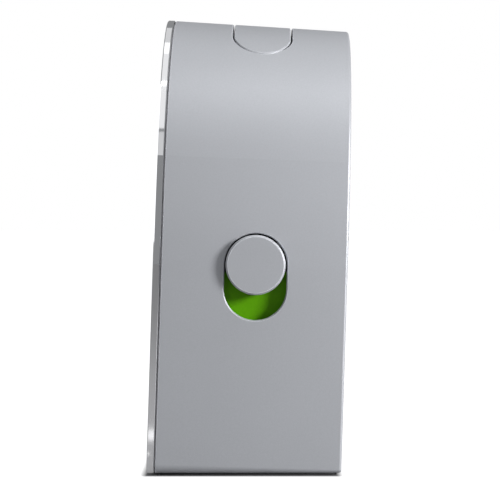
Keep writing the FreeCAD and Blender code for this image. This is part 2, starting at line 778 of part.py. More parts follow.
def make_housing():
    body = new_body("housing")
    inner = "shell_inset + side_wall"
    pad(body, "front", SHELL_FRONT, "case_depth", arch("shell_inset"), taper="-draft_angle")
    soften(body, "Fillet", "back_round", lies_on("y", "case_depth"))
    soften(body, "Chamfer", "rim_chamfer", lies_on("y", SHELL_FRONT))
    pocket(body, "front", SHELL_FRONT, INNER_BACK, arch(inner), taper="-draft_angle")

    # side slot, square to the drafted wall
    seat = slider_seat()
    slot = Placement(Vector(seat.Base.y, seat.Base.z, seat.Base.x - value("2 * side_wall")),
                     Rotation(Vector(0, 1, 0), value("draft_angle")))
    pocket(body, "side", "0", "4 * side_wall", obround("0", "0", "slot_wide", "slot_tall"), seat=slot)
    soften(body, "Chamfer", "slot_chamfer", is_slot_mouth)

    # top button's opening and the shelf that carries its switch
    pocket(body, "level", SHELF_TOP, "ridge_height", obround("0", "top_depth", "top_wide", "top_narrow"))
    soften(body, "Chamfer", "rim_chamfer", is_top_mouth)
    pad(body, "level", "shelf_low", SHELF_TOP,
        box("-shelf_half", "shelf_half", "shelf_front", f"{INNER_BACK} + thread_gap"))
    pocket(body, "level", "shelf_low", SHELF_TOP,
           *[circle(f"{side}top_stem_across", "top_depth", "top_stem_radius + running_gap")
             for side in ("-", "")])

    # battery door's opening with its hinge gutter, terminal, reset and insert holes
    pocket(body, "front", INNER_BACK, "case_depth",
           box("hinge_across - hinge_gutter", "door_half + door_gap", "door_low", "door_high"),
           box("-terminal_half", "terminal_half", "terminal_height - terminal_rise",
               "terminal_height + terminal_rise"),
           circle("0", "reset_height", "reset_radius + running_gap"))
    for index in range(0, KNUCKLES, 2):
        low, high = knuckle(index)
        pad(body, "level", low, high,
            box("hinge_across - hinge_gutter - thread_gap", "hinge_across", "hinge_depth - knuckle_web / 2",
                "hinge_depth + knuckle_web / 2"))
        pad(body, "level", low, high, circle("hinge_across", "hinge_depth", "hinge_radius"))
    pocket(body, "level", "door_low", "door_high",
           circle("hinge_across", "hinge_depth", "hinge_pin_radius + thread_gap"))

    # posts for the frame's screws, bosses for the inserts and the reset board
    pad(body, "front", FRAME_BACK, f"{INNER_BACK} + thread_gap",
        *[circle(across, up, "post_radius") for across, up in POSTS])
    pocket(body, "front", FRAME_BACK, f"{FRAME_BACK} + screw_length",
           *[circle(across, up, "screw_radius + thread_gap") for across, up in POSTS])
    pad(body, "front", "case_depth - insert_depth - back_wall", f"{INNER_BACK} + thread_gap",
        *[circle(across, up, "insert_boss") for across, up in INSERTS])
    pocket(body, "front", "case_depth - insert_depth", "case_depth",
           *[circle(across, up, "insert_radius + thread_gap") for across, up in INSERTS])
    pad(body, "front", "reset_board_face + board_depth", f"{INNER_BACK} + thread_gap",
        *[circle(f"{side}reset_post_across", "reset_height", "reset_stem") for side in ("-", "")])

    # seat of the base pad, level with the drafted underside
    pocket(body, "level", "0", "pad_thickness - pad_drop", base_pad_outline(), seat=base_seat("0"))


def knuckle(index):
    """Lower and upper stations of one of the hinge's five knuckles, from the bottom."""
    pitch = f"(door_high - door_low - knuckle_gap) / {KNUCKLES}"
    low = f"door_low + knuckle_gap + {index} * {pitch}"
    return low, f"{low} + {pitch} - knuckle_gap"


def base_seat(rise):
    """Frame on the drafted underside, raised square to it."""
    tilt = Rotation(Vector(1, 0, 0), value("draft_angle"))
    corner = Vector(0, value(SHELL_FRONT), value("shell_inset"))
    return Placement(corner + tilt.multVec(Vector(0, 0, value(rise))), tilt)


def base_pad_outline():
    """Outline of the base pad on the underside."""
    return rounded_box("pad_margin - half_width", "half_width - pad_margin", "pad_margin / 2",
                       f"case_depth - {SHELL_FRONT} - pad_margin / 2", "pad_corner")


def make_base_pad():
    body = new_body("base_pad")
    pad(body, "level", "0", "pad_thickness", base_pad_outline(), seat=base_seat("-pad_drop"))


def make_wall_inserts():
    body = new_body("wall_inserts")
    pad(body, "front", "case_depth - insert_depth", "case_depth",
        *[circle(across, up, "insert_radius") for across, up in INSERTS],
        *[circle(across, up, "insert_bore") for across, up in INSERTS])


def make_terminal():
    block = new_body("terminal_block")
    pad(block, "front", "terminal_front", "terminal_back",
        box("lip_gap - terminal_half", "terminal_half - lip_gap", "terminal_height - terminal_rise + lip_gap",
            "terminal_height + terminal_rise - lip_gap"))
    places = [f"{side}terminal_screw_across" for side in ("-", "")]
    pocket(block, "front", "terminal_back - 2 * terminal_screw_radius", "terminal_back",
           *[circle(across, "terminal_height", "terminal_screw_radius + lip_gap") for across in places])

    screws = new_body("terminal_screws")
    pad(screws, "front", "terminal_back - 2 * terminal_screw_radius", "terminal_back - board_depth",
        *[circle(across, "terminal_height", "terminal_screw_radius") for across in places])
    for across in places:
        pocket(screws, "front", "terminal_back - 2 * board_depth", "terminal_back - board_depth",
               box(f"{across} - drive_reach", f"{across} + drive_reach", "terminal_height - drive_half",
                   "terminal_height + drive_half"))


def make_battery():
    tray = new_body("battery_tray")
    inside = ("-tray_half", "tray_half", "door_low + door_gap", "door_high - door_gap")
    outside = ("-tray_half - tray_wall", "tray_half + tray_wall", "door_low + door_gap - tray_wall",
               "door_high - door_gap + tray_wall")
    pad(tray, "front", "tray_front", f"{INNER_BACK} - lip_gap", box(*outside))
    pocket(tray, "front", TRAY_FLOOR, INNER_BACK, box(*inside))
    for level in magnet_levels():
        pad(tray, "front", TRAY_FLOOR, "case_depth - back_wall - 2 * magnet_thickness - door_gap",
            box("magnet_across - magnet_radius", "tray_half + thread_gap", f"{level} - magnet_radius",
                f"{level} + magnet_radius"))

    pack = new_body("battery_pack")
    front = f"{TRAY_FLOOR} + contact_depth"
    pad(pack, "front", front, f"{front} + battery_depth",
        rounded_box("-battery_half", "battery_half", "battery_low", "battery_high", "battery_corner"))
    soften(pack, "Fillet", "battery_corner / 3", lies_on("y", f"{front} + battery_depth"))

    contacts = new_body("battery_contacts")
    pad(contacts, "front", TRAY_FLOOR, front,
        *[box(f"{place} * contact_pitch - contact_depth", f"{place} * contact_pitch + contact_depth",
              "battery_low + contact_length", "battery_low + 2 * contact_length")
          for place in (-2, -1, 1, 2)])


def magnet_levels():
    """Heights of the two magnets that hold the battery door shut."""
    return ("door_low + magnet_margin", "door_high - magnet_margin")


def make_magnets():
    face = f"{INNER_BACK} - magnet_thickness"
    for name, start in (("door_magnets", face), ("tray_magnets", f"{face} - magnet_thickness - door_gap")):
        body = new_body(name)
        pad(body, "front", start, f"{start} + magnet_thickness",
            *[circle("magnet_across", level, "magnet_radius") for level in magnet_levels()])


def make_battery_door():
    body = new_body("battery_door")
    pad(body, "front", INNER_BACK, "case_depth",
        rounded_box("-door_half", "door_half", "door_low + door_gap", "door_high - door_gap",
                    "door_corner"))
    for index in range(1, KNUCKLES, 2):
        low, high = knuckle(index)
        pad(body, "level", low, high,
            box("hinge_across", "-door_half + thread_gap", "hinge_depth - knuckle_web / 4",
                "hinge_depth + knuckle_web / 2"))
        pad(body, "level", low, high, circle("hinge_across", "hinge_depth", "hinge_radius"))
    pocket(body, "level", "door_low", "door_high",
           circle("hinge_across", "hinge_depth", "hinge_pin_radius + running_gap"))
    pocket(body, "front", "case_depth - back_wall / 3", "case_depth",
           obround("door_half - 3 * door_corner", "(door_low + door_high) / 2", "2 * door_corner",
                   "8 * door_corner"))

    pin = new_body("hinge_pin")
    pad(pin, "level", "door_low + knuckle_gap", "door_high - knuckle_gap",
        circle("hinge_across", "hinge_depth", "hinge_pin_radius"))


def make_reset_button():
    button = new_body("reset_button")
    flange = f"{INNER_BACK} - running_gap"
    pad(button, "front", f"{flange} - board_depth", "case_depth + reset_proud",
        circle("0", "reset_height", "reset_radius"))
    soften(button, "Fillet", "reset_proud", lies_on("y", "case_depth + reset_proud"))
    pad(button, "front", f"{flange} - board_depth", flange,
        circle("0", "reset_height", "reset_radius + reset_flange"))
    pad(button, "front", "reset_board_face + 2 * board_depth + reset_play", f"{flange} - board_depth",
        circle("0", "reset_height", "reset_stem"))

    board = new_body("reset_board")
    pad(board, "front", "reset_board_face", "reset_board_face + board_depth",
        box("-3 * reset_radius", "3 * reset_radius", "reset_height - 2 * reset_radius",
            "reset_height + 2 * reset_radius"))

    switch = new_body("reset_switch")
    pad(switch, "front", "reset_board_face + board_depth", "reset_board_face + 3 * board_depth",
        box("-reset_radius", "reset_radius", "reset_height - reset_radius", "reset_height + reset_radius"),
        circle("0", "reset_height", "reset_stem + running_gap"))


def slider_seat():
    """Frame of the side slider: on the outer face of the drafted wall, X outwards."""
    across = value(f"half_width - shell_inset - (slider_depth - {SHELL_FRONT}) * tan(draft_angle * 1 deg)")
    return Placement(Vector(across, value("slider_depth"), value("slider_height")),
                     Rotation(Vector(0, 0, 1), value("draft_angle")))


def make_switch_well():
    body = new_body("switch_well")
    pad(body, "side", "-well_depth - well_floor", "-side_wall - well_gap",
        box("-well_half", "well_half", "-well_rise", "well_rise"))
    pocket(body, "side", "-well_depth", "-side_wall - well_gap",
           obround("0", "0", "slot_wide", "slot_tall"))
    pad(body, "side", "-well_back", "-well_depth - well_floor",
        box("-well_half", "well_half", "-well_rise", "well_rise"),
        box("-carriage_half - running_gap", "carriage_half + running_gap", "well_end - well_rise",
            "well_rise - well_end"))
    pocket(body, "side", "-well_depth - well_floor", "-well_depth",
           box("-stem_half - running_gap", "stem_half + running_gap",
               f"-{KNOB_RISE} - stem_rise - lip_gap", f"{KNOB_RISE} + stem_rise + lip_gap"))


def make_slider():
    knob = new_body("switch_knob")
    back = "-well_depth + knob_clearance"
    pad(knob, "side", back, "knob_proud", circle("0", KNOB_RISE, "knob_radius"))
    soften(knob, "Chamfer", "knob_chamfer", lies_on("x", "knob_proud"))

    carriage = new_body("switch_carriage")
    pad(carriage, "side", "-carriage_back", "-well_depth - well_floor - lip_gap",
        box("-carriage_half", "carriage_half", f"{KNOB_RISE} - carriage_rise",
            f"{KNOB_RISE} + carriage_rise"))
    pad(carriage, "side", "-well_depth - well_floor - lip_gap", back,
        box("-stem_half", "stem_half", f"{KNOB_RISE} - stem_rise", f"{KNOB_RISE} + stem_rise"))
    pad(carriage, "side", "-well_back - stem_half", "-carriage_back",
        box("-stem_half / 2", "stem_half / 2", f"{KNOB_RISE} - stem_rise", f"{KNOB_RISE} + stem_rise"))

    switch = new_body("slide_switch")
    pad(switch, "side", "-slide_switch_back", "-well_back",
        box("-carriage_half + stem_half", "carriage_half - stem_half", "-slide_switch_rise",
            "slide_switch_rise"))
    pocket(switch, "side", "-well_back - stem_half - lip_gap", "-well_back",
           box("-stem_half / 2 - running_gap", "stem_half / 2 + running_gap",
               f"-{KNOB_RISE} - stem_rise - lip_gap", f"{KNOB_RISE} + stem_rise + lip_gap"))

    board = new_body("switch_board")
    pad(board, "side", "-slide_switch_back - board_depth", "-slide_switch_back",
        box("-well_half + stem_half", "well_half - stem_half", "-well_rise + stem_half",
            "well_rise - stem_half"))


def make_top_button():
    body = new_body("top_button")
    plan = obround("0", "top_depth", "top_wide - 2 * top_gap", "top_narrow - 2 * top_gap")
    pad(body, "front", SHELL_FRONT, "case_depth", arch("shell_inset"), taper="-draft_angle")
    pocket(body, "front", SHELL_FRONT, "case_depth", arch("shell_inset + top_thickness"),
           taper="-draft_angle")
    all_round = box("-2 * half_width", "2 * half_width", "-case_depth", "2 * case_depth")
    pocket(body, "level", "-case_depth", "2 * ridge_height", plan, all_round)
    pocket(body, "level", "-case_depth", SHELF_TOP, all_round)
    soften(body, "Chamfer", "rim_chamfer", is_top_mouth)
    stems = [circle(f"{side}top_stem_across", "top_depth", "top_stem_radius") for side in ("-", "")]
    pad(body, "level", "shelf_low - shelf_thickness", "top_stem_top", *stems)
    pad(body, "level", f"{SHELF_TOP} + plunger_rise", "top_plunger_top",
        circle("0", "top_depth", "plunger_radius"))

    switch = new_body("top_switch")
    pad(switch, "level", SHELF_TOP, f"{SHELF_TOP} + top_switch_rise",
        box("-reset_radius", "reset_radius", "top_depth - reset_radius", "top_depth + reset_radius"),
        circle("0", "top_depth", "plunger_radius + running_gap"))


make_front_plate()
make_plate_seal()
make_front_frame()
make_frame_screws()
make_window()
make_camera()
make_night_lights()
make_motion_sensor()
make_call_button()
make_boards()
make_board_parts()
make_speaker()
make_microphone()
make_housing()
make_base_pad()
make_wall_inserts()
make_terminal()
make_battery()
make_magnets()
make_battery_door()
make_reset_button()
make_switch_well()
make_slider()
make_top_button()

# The case leans back about the foot of the front plate, is centred in depth and stands on its pad.
lean = Rotation(Vector(1, 0, 0), -value("draft_angle"))
underside = lean.multVec(base_seat("0").Base).z
CASE_SEAT = Placement(Vector(0, -value("centre_depth"), value("pad_drop") - underside), lean)
SLIDER_PARTS = ("switch_well", "switch_knob", "switch_carriage", "slide_switch", "switch_board")
for name, body in BODIES.items():
    body.Placement = CASE_SEAT * slider_seat() if name in SLIDER_PARTS else CASE_SEAT
document.recompute()

for item in document.Objects:
    if {"Invalid", "Error"} & set(item.State):
        raise RuntimeError(f"{item.Name} failed: {item.State}")
for name, body in BODIES.items():
    if body.Shape.isNull() or not body.Shape.isValid():
        raise RuntimeError(f"{name} has no valid shape")

os.makedirs("parts", exist_ok=True)
for name, body in BODIES.items():
    body.Shape.exportStep(f"parts/{name}.step")
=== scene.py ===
"""Looks of the video doorbell: materials of its CAD pieces, and the studio, lights and camera round them."""
import math

import bpy
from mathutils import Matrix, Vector


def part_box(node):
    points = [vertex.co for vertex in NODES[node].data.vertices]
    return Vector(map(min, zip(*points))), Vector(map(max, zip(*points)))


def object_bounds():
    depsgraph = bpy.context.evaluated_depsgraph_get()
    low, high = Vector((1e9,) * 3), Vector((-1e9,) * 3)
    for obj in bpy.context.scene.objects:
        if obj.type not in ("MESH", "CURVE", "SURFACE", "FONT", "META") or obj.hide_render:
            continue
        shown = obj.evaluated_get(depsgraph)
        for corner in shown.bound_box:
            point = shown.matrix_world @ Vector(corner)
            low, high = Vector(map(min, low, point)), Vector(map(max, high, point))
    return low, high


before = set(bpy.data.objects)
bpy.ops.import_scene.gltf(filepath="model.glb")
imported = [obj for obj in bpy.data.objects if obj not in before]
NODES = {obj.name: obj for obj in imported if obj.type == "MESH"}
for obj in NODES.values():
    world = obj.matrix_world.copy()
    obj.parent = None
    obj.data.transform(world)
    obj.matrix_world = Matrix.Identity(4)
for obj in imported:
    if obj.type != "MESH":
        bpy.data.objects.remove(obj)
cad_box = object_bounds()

MM = 0.001


# ---------------------------------------------------------------- building materials

# A Mix node's first input, second input and output, for each kind of value that it blends.
MIX_SOCKETS = {"RGBA": (6, 7, 2), "FLOAT": (2, 3, 0)}

# Cosine between the rounded and the true normal: a whole edge up to the first, none from the second.
EDGE_WHOLE = 0.9
EDGE_NONE = 0.995

# Share of the surroundings that a point is open to: a whole crevice up to the first, none from the second.
CREVICE_WHOLE = 0.25
CREVICE_NONE = 0.6

BUMP_STRENGTH = 0.6


class Graph:
    """A material's node tree, with short calls for the steps that the materials share."""

    def __init__(self, name):
        self.material = bpy.data.materials.new(name)
        self.material.use_nodes = True
        self.tree = self.material.node_tree
        self.shader = self.tree.nodes["Principled BSDF"]
        coordinates = self.add("ShaderNodeTexCoord")
        self.place = coordinates.outputs["Object"]
        self.facing = coordinates.outputs["Normal"]

    def add(self, kind, **settings):
        node = self.tree.nodes.new(kind)
        for key, setting in settings.items():
            setattr(node, key, setting)
        return node

    def link(self, source, socket):
        self.tree.links.new(source, socket)

    def feed(self, socket, source):
        """Give a socket another socket's output, or a constant."""
        if isinstance(source, bpy.types.NodeSocket):
            self.link(source, socket)
        else:
            socket.default_value = source

    def drive(self, **sources):
        """Textures into the shader's own sockets, with _ for a space."""
        for key, source in sources.items():
            self.link(source, self.shader.inputs[key.replace("_", " ")])

    def set(self, **values):
        """Constants on the shader's own sockets, with _ for a space."""
        for key, setting in values.items():
            self.shader.inputs[key.replace("_", " ")].default_value = setting

    def number_step(self, operation, *sources):
        """Result of a Math node, from sockets or numbers."""
        node = self.add("ShaderNodeMath", operation=operation)
        for socket, source in zip(node.inputs, sources):
            self.feed(socket, source)
        return node.outputs["Value"]

    def vector_step(self, operation, *sources, result="Vector"):
        """Result of a Vector Math node, from sockets or triples."""
        node = self.add("ShaderNodeVectorMath", operation=operation)
        for socket, source in zip(node.inputs, sources):
            self.feed(socket, source)
        return node.outputs[result]

    def axis(self, vector, name):
        """One coordinate of a vector."""
        split = self.add("ShaderNodeSeparateXYZ")
        self.link(vector, split.inputs["Vector"])
        return split.outputs[name]

    def scaled(self, scale=(1.0, 1.0, 1.0), turn=(0.0, 0.0, 0.0)):
        """Object coordinates in metres, turned by degrees and scaled along each axis."""
        mapping = self.add("ShaderNodeMapping", vector_type="TEXTURE")
        mapping.inputs["Scale"].default_value = [1 / factor for factor in scale]
        mapping.inputs["Rotation"].default_value = [math.radians(angle) for angle in turn]
        self.link(self.place, mapping.inputs["Vector"])
        return mapping.outputs["Vector"]

    def noise(self, scale=1.0, detail=3.0, vector=None):
        """Cloudy noise: the scale is cells to the metre, or to the unit of a vector that is given."""
        node = self.add("ShaderNodeTexNoise")
        node.inputs["Scale"].default_value = scale
        node.inputs["Detail"].default_value = detail
        self.link(vector or self.place, node.inputs["Vector"])
        return node.outputs["Fac"]

    def bands(self, scale, direction):
        """Straight soft bands across one object axis."""
        node = self.add("ShaderNodeTexWave", wave_type="BANDS", bands_direction=direction)
        node.inputs["Scale"].default_value = scale
        self.link(self.place, node.inputs["Vector"])
        return node.outputs["Fac"]

    def spread(self, source, low=0.0, high=1.0, start=0.3, end=0.7):
        """Map a texture's start..end range to low..high, clamped."""
        node = self.add("ShaderNodeMapRange")
        node.inputs["From Min"].default_value = start
        node.inputs["From Max"].default_value = end
        node.inputs["To Min"].default_value = low
        node.inputs["To Max"].default_value = high
        self.link(source, node.inputs["Value"])
        return node.outputs["Result"]

    def mix(self, factor, first, second, kind="RGBA"):
        """Blend of two colours, or of two numbers for FLOAT, each a constant or a socket."""
        node = self.add("ShaderNodeMix", data_type=kind)
        first_socket, second_socket, result = MIX_SOCKETS[kind]
        self.link(factor, node.inputs["Factor"])
        for socket, source in ((first_socket, first), (second_socket, second)):
            self.feed(node.inputs[socket], (*source, 1.0) if isinstance(source, tuple) else source)
        return node.outputs[result]

    def bump(self, height, depth):
        """Normal of a surface that a texture raises by a depth in metres."""
        node = self.add("ShaderNodeBump")
        node.inputs["Distance"].default_value = depth
        node.inputs["Strength"].default_value = BUMP_STRENGTH
        self.link(height, node.inputs["Height"])
        return node.outputs["Normal"]

    def edges(self, radius):
        """Mask that is 1 along sharp edges: where a rounded normal leaves the true one. The materials paint
        highlights with it.
        """
        bevel = self.add("ShaderNodeBevel", samples=6)
        bevel.inputs["Radius"].default_value = radius
        true_normal = self.add("ShaderNodeNewGeometry").outputs["Normal"]
        match = self.vector_step("DOT_PRODUCT", bevel.outputs["Normal"], true_normal, result="Value")
        return self.spread(match, 1.0, 0.0, start=EDGE_WHOLE, end=EDGE_NONE)

    def crevices(self, reach):
        """Mask that is 1 deep inside gaps narrower than the reach, where satin metal gets painted shade."""
        shelter = self.add("ShaderNodeAmbientOcclusion", samples=8, only_local=False)
        shelter.inputs["Distance"].default_value = reach
        return self.spread(shelter.outputs["AO"], 1.0, 0.0, start=CREVICE_WHOLE, end=CREVICE_NONE)

    def facing_along(self, name):
        """How squarely the surface faces along one object axis, either way, up to 1."""
        return self.number_step("ABSOLUTE", self.axis(self.facing, name))

    def beyond_box(self, centre, half):
        """Distance outside a rectangle on the floor, and 0 inside it."""
        from_centre = self.vector_step("SUBTRACT", self.place, (centre.x, centre.y, 0.0))
        either_way = self.vector_step("ABSOLUTE", from_centre)
        past_side = self.vector_step("SUBTRACT", either_way, (half.x, half.y, 0.0))
        outside = self.vector_step("MAXIMUM", past_side, (0.0, 0.0, 0.0))
        return self.vector_step("LENGTH", outside, result="Value")


def shade(colour, factor):
    """A colour made lighter or darker."""
    return tuple(min(1.0, channel * factor) for channel in colour)


def satin_metal(name, colour, highlight_radius=0.22 * MM):
    """Bead-blasted, anodised aluminium: fine grain, faint clouds, painted highlights on edges, painted shade
    in gaps.
    """
    graph = Graph(name)
    cloud = graph.spread(graph.noise(scale=35.0))
    grain = graph.noise(scale=2600.0, detail=4.0)
    body = graph.mix(cloud, shade(colour, 0.985), shade(colour, 1.015))
    speckled = graph.mix(graph.spread(grain, 0.0, 0.12), body, shade(colour, 0.6))
    # Painted highlight: along the edges the colour is made far paler than the metal.
    highlit = graph.mix(graph.edges(highlight_radius), speckled, shade(colour, 2.3))
    # Painted shade: deep in narrow gaps the colour goes nearly black.
    graph.drive(Base_Color=graph.mix(graph.crevices(reach=0.7 * MM), highlit, shade(colour, 0.05)),
                Roughness=graph.spread(grain, 0.45, 0.55),
                Normal=graph.bump(grain, depth=0.01 * MM))
    graph.set(Metallic=0.4)
    return graph.material


def brushed_metal(name, colour):
    """Stainless steel: its faces brushed upwards in long fine lines, its rim polished and paler."""
    graph = Graph(name)
    lines = graph.noise(vector=graph.scaled((3500.0, 3500.0, 60.0)))
    smudge = graph.noise(scale=25.0, detail=1.0)
    face = graph.spread(graph.facing_along("Y"), start=0.8, end=0.95)
    brushed = graph.mix(graph.spread(lines), shade(colour, 0.9), colour)
    brushed_roughness = graph.spread(smudge, 0.31, 0.36, start=0.0, end=1.0)
    polished_roughness = graph.spread(smudge, 0.05, 0.09, start=0.0, end=1.0)
    graph.drive(Base_Color=graph.mix(face, shade(colour, 1.45), brushed),
                Roughness=graph.mix(face, polished_roughness, brushed_roughness, kind="FLOAT"),
                Normal=graph.bump(graph.number_step("MULTIPLY", lines, face), depth=0.006 * MM))
    graph.set(Metallic=1.0)
    return graph.material


def plated_metal(name, colour, roughness):
    """Plated or turned small metal part: fine scratches, tarnish in patches, and a painted highlight along
    the edges.
    """
    graph = Graph(name)
    tarnish = graph.noise(scale=500.0, detail=5.0)
    scratch = graph.noise(detail=2.0, vector=graph.scaled((9000.0, 900.0, 3000.0)))
    body = graph.mix(graph.spread(tarnish), shade(colour, 0.75), colour)
    # Painted highlight: the edges are made paler than the metal.
    graph.drive(Base_Color=graph.mix(graph.edges(radius=0.08 * MM), body, shade(colour, 1.4)),
                Roughness=graph.spread(tarnish, roughness + 0.15, roughness),
                Normal=graph.bump(scratch, depth=0.004 * MM))
    graph.set(Metallic=1.0)
    return graph.material


def moulded_plastic(name, colour, roughness=0.5):
    """Moulded plastic: spark-eroded texture, slight shade changes, and a painted highlight along the
    corners.
    """
    graph = Graph(name)
    grain = graph.noise(scale=2500.0, detail=2.0)
    body = graph.mix(graph.spread(graph.noise(scale=80.0)), colour, shade(colour, 1.15))
    # Painted highlight: along the corners the colour is made paler.
    graph.drive(Base_Color=graph.mix(graph.edges(radius=0.12 * MM), body, shade(colour, 1.6)),
                Roughness=graph.spread(grain, roughness - 0.06, roughness + 0.06),
                Normal=graph.bump(grain, depth=0.012 * MM))
    return graph.material


def rubber(name, colour):
    """Dull rubber with a slight bloom."""
    graph = Graph(name)
    bloom = graph.noise(scale=220.0, detail=5.0)
    graph.drive(Base_Color=graph.mix(graph.spread(bloom), colour, shade(colour, 1.8)),
                Roughness=graph.spread(bloom, 0.7, 0.9),
                Normal=graph.bump(graph.noise(scale=3000.0), depth=0.02 * MM))
    return graph.material


def dark_glass(name, colour, solid=1.0):
    """Black glass: deep gloss, faint wipe marks, a painted highlight along its edges, and see-through below
    1 solid.
    """
    graph = Graph(name)
    marks = graph.noise(scale=90.0, detail=6.0)
    # Painted highlight: the glass's edges are made paler than its body.
    edge_highlight = (0.06, 0.06, 0.065)
    body = graph.mix(graph.spread(marks), colour, shade(colour, 1.6))
    graph.drive(Base_Color=graph.mix(graph.edges(radius=0.15 * MM), body, edge_highlight),
                Roughness=graph.spread(marks, 0.04, 0.10))
    graph.set(Alpha=solid, Coat_Weight=1.0, Coat_Roughness=0.03)
    return graph.material


def lens_glass(name):
    """Camera lens: near-black glass whose coating turns from violet to green towards the rim."""
    graph = Graph(name)
    violet = (0.012, 0.003, 0.03)
    green = (0.005, 0.05, 0.03)
    slant = graph.add("ShaderNodeLayerWeight")
    slant.inputs["Blend"].default_value = 0.35
    dust = graph.noise(scale=700.0, detail=4.0)
    graph.drive(Base_Color=graph.mix(slant.outputs["Facing"], violet, green),
                Roughness=graph.spread(dust, 0.02, 0.06))
    graph.set(Specular_IOR_Level=0.9, Coat_Weight=1.0, Coat_Roughness=0.02)
    return graph.material


def milky_plastic(name, colour, glow=0.0):
    """Translucent diffuser plastic, slightly cloudy, which may glow."""
    graph = Graph(name)
    cloud = graph.noise(scale=300.0, detail=4.0)
    graph.drive(Base_Color=graph.mix(graph.spread(cloud), shade(colour, 0.93), colour),
                Roughness=graph.spread(cloud, 0.32, 0.42),
                Normal=graph.bump(graph.noise(scale=1800.0), depth=0.006 * MM))
    graph.set(Subsurface_Weight=0.25, Subsurface_Scale=0.5 * MM, Emission_Color=(*colour, 1.0),
              Emission_Strength=glow)
    return graph.material


def circuit_board(name, mask, plating):
    """Glass-fibre board: solder mask over raised tracks, with plated pads showing through."""
    graph = Graph(name)
    tracks = graph.add("ShaderNodeTexBrick", offset=0.37, squash=1.6, squash_frequency=3)
    tracks.inputs["Scale"].default_value = 260.0
    tracks.inputs["Mortar Size"].default_value = 0.11
    tracks.inputs["Mortar Smooth"].default_value = 0.05
    graph.link(graph.scaled(turn=(90.0, 0.0, 0.0)), tracks.inputs["Vector"])
    dots = graph.add("ShaderNodeTexVoronoi", feature="F1")
    dots.inputs["Scale"].default_value = 420.0
    graph.link(graph.place, dots.inputs["Vector"])
    pad = graph.spread(dots.outputs["Distance"], 1.0, 0.0, start=0.16, end=0.20)
    masked = graph.mix(tracks.outputs["Fac"], mask, shade(mask, 2.2))
    graph.drive(Base_Color=graph.mix(pad, masked, plating),
                Metallic=graph.spread(pad, 0.0, 0.9, start=0.0, end=1.0),
                Roughness=graph.spread(graph.noise(scale=600.0), 0.28, 0.42),
                Normal=graph.bump(tracks.outputs["Fac"], depth=0.03 * MM))
    return graph.material


def woven_mesh(name):
    """Black woven acoustic cloth."""
    graph = Graph(name)
    thread_scale = 900.0
    gap = (0.004, 0.004, 0.004)
    thread = (0.035, 0.035, 0.037)
    warp = graph.bands(scale=thread_scale, direction="X")
    weft = graph.bands(scale=thread_scale, direction="Z")
    weave = graph.number_step("MULTIPLY", warp, weft)
    graph.drive(Base_Color=graph.mix(weave, gap, thread),
                Roughness=graph.spread(weave, 0.9, 0.6, start=0.0, end=1.0),
                Normal=graph.bump(weave, depth=0.04 * MM))
    return graph.material


def ribbon(name):
    """Amber flat flexible circuit with copper tracks along it."""
    graph = Graph(name)
    amber = (0.35, 0.10, 0.01)
    copper = (0.62, 0.24, 0.06)
    tracks = graph.bands(scale=300.0, direction="X")
    graph.drive(Base_Color=graph.mix(graph.spread(tracks, start=0.5, end=0.6), amber, copper),
                Roughness=graph.spread(graph.noise(scale=400.0), 0.25, 0.4),
                Normal=graph.bump(tracks, depth=0.02 * MM))
    return graph.material


def speaker_paper(name):
    """Pressed fibre cone."""
    graph = Graph(name)
    pulp = (0.02, 0.02, 0.022)
    fibre = (0.08, 0.08, 0.08)
    fibres = graph.noise(detail=5.0, vector=graph.scaled((2500.0, 2500.0, 900.0)))
    graph.drive(Base_Color=graph.mix(graph.spread(fibres), pulp, fibre),
                Roughness=graph.spread(fibres, 0.75, 0.95),
                Normal=graph.bump(fibres, depth=0.05 * MM))
    return graph.material


def green_well_and_shade(name, green, black, change, softness):
    """Slider well: green indicator below the height of the change, and black above it as painted shade
    behind the knob.
    """
    graph = Graph(name)
    grain = graph.noise(scale=2200.0, detail=2.0)
    painted = graph.mix(graph.spread(grain), shade(green, 0.95), shade(green, 1.05))
    height = graph.axis(graph.place, "Z")
    upper = graph.spread(height, start=change - softness, end=change + softness)
    # Painted shade: above the change the well is black.
    graph.drive(Base_Color=graph.mix(upper, painted, black),
                Roughness=graph.spread(grain, 0.42, 0.5),
                Normal=graph.bump(grain, depth=0.008 * MM))
    graph.set(Specular_IOR_Level=0.12)
    return graph.material


def shrink_wrap(name, colour):
    """Battery sleeve: shiny film with faint creases round it."""
    graph = Graph(name)
    crease = graph.noise(vector=graph.scaled((120.0, 120.0, 700.0)))
    graph.drive(Base_Color=graph.mix(graph.spread(crease), colour, shade(colour, 1.25)),
                Roughness=graph.spread(crease, 0.18, 0.32),
                Normal=graph.bump(crease, depth=0.03 * MM))
    return graph.material


def paint(material, *nodes):
    """Give CAD nodes one material on all their faces."""
    for node in nodes:
        data = NODES[node].data
        data.materials.clear()
        data.materials.append(material)


# ---------------------------------------------------------------- materials of the CAD pieces

SILVER = (0.385, 0.395, 0.42)
STEEL = (0.60, 0.60, 0.61)
CHROME = (0.42, 0.42, 0.44)
ZINC = (0.58, 0.58, 0.56)
TIN = (0.66, 0.66, 0.64)
NICKEL = (0.62, 0.60, 0.56)
BRASS = (0.68, 0.48, 0.17)
GOLD = (0.83, 0.60, 0.22)
COPPER = (0.72, 0.36, 0.22)
SOLDER = (0.62, 0.60, 0.52)

PLASTIC_BLACK = (0.018, 0.018, 0.02)
PLASTIC_GREY = (0.16, 0.165, 0.17)
TERMINAL_GREY = (0.03, 0.032, 0.034)
RESET_GREY = (0.03, 0.03, 0.033)
SWITCH_GREY = (0.05, 0.05, 0.055)
CHIP_BLACK = (0.016, 0.016, 0.017)
RUBBER_BLACK = (0.012, 0.012, 0.013)
SILICONE_GREY = (0.34, 0.34, 0.35)
SLEEVE_BLUE = (0.035, 0.07, 0.13)
SLIDER_GREEN = (0.085, 0.28, 0.0)
SLIDER_SHADE_BLACK = (0.006, 0.006, 0.006)

